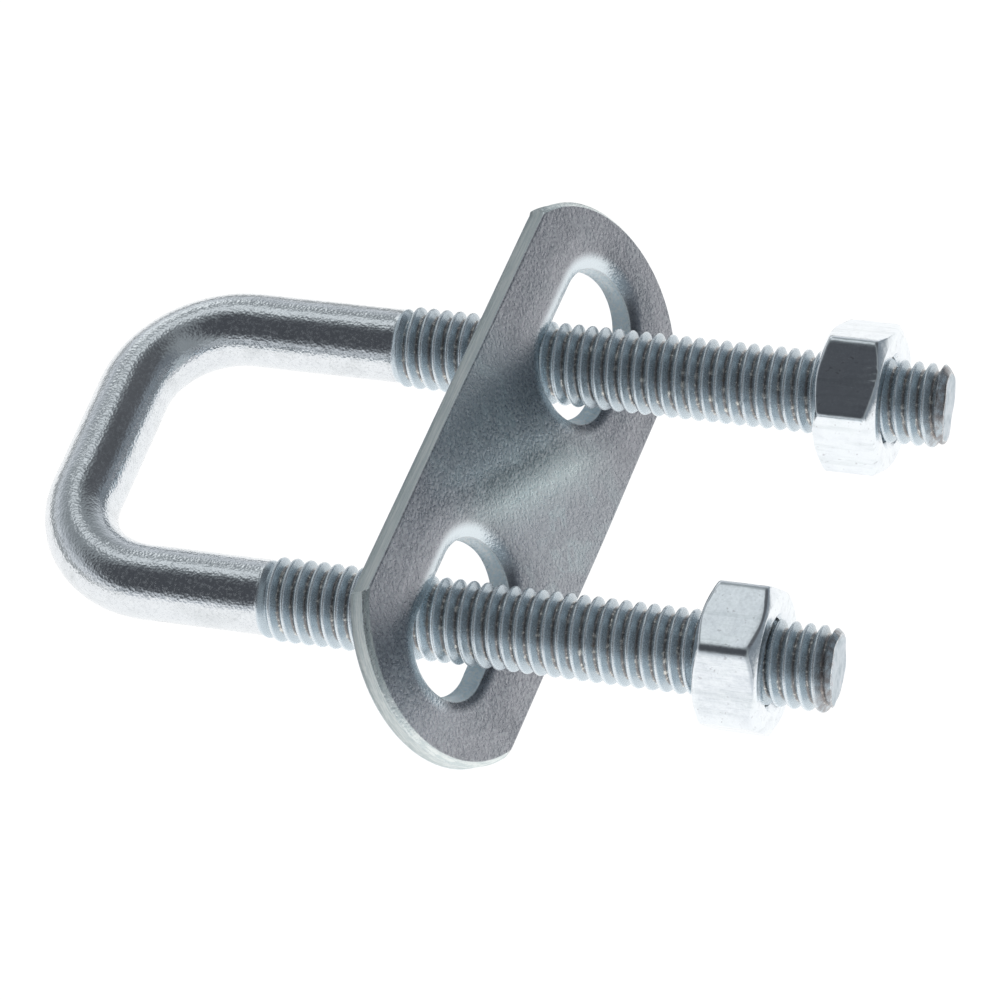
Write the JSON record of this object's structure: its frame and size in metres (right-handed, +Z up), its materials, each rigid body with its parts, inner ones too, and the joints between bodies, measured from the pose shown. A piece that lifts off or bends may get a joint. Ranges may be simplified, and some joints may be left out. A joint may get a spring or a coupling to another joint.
{
  "type": "u-bolt clamp",
  "caption": "Square-bend U-bolt with threaded legs, a slotted clamp plate hanging loose on the legs and a hex nut on each leg end, in bright zinc plated steel.",
  "frame": {"origin": "middle of the footprint, on the surface that the clamp lies on", "axes": "+X from the bow towards the nuts, +Y from the near leg to the far leg, +Z up; the clamp lies on its bow and on the plate's lower long edge, so the legs rise 9.25 degrees towards +X"},
  "size_m": [0.0616, 0.047, 0.017],
  "materials": {
    "bolt_zinc": "bright zinc plated, lightly blue",
    "plate_zinc": "bright zinc plated sheet, fine grain",
    "nut_zinc": "bright zinc plated"
  },
  "bodies": {
    "u_bolt": {"u_bolt": "bolt_zinc"},
    "clamp_plate": {"clamp_plate": "plate_zinc"},
    "far_nut": {"far_nut": "nut_zinc"},
    "near_nut": {"near_nut": "nut_zinc"}
  },
  "joints": [
    {"name": "plate_slide", "type": "slide", "parent": "u_bolt", "child": "clamp_plate", "axis": [0.987, 0, 0.1608], "range_m": [-0.02, 0.005]},
    {"name": "far_nut_slide", "type": "slide", "parent": "u_bolt", "child": "far_nut", "axis": [0.987, 0, 0.1608], "range_m": [-0.0095, 0.0075]},
    {"name": "near_nut_slide", "type": "slide", "parent": "u_bolt", "child": "near_nut", "axis": [0.987, 0, 0.1608], "range_m": [-0.0085, 0.0085]}
  ]
}
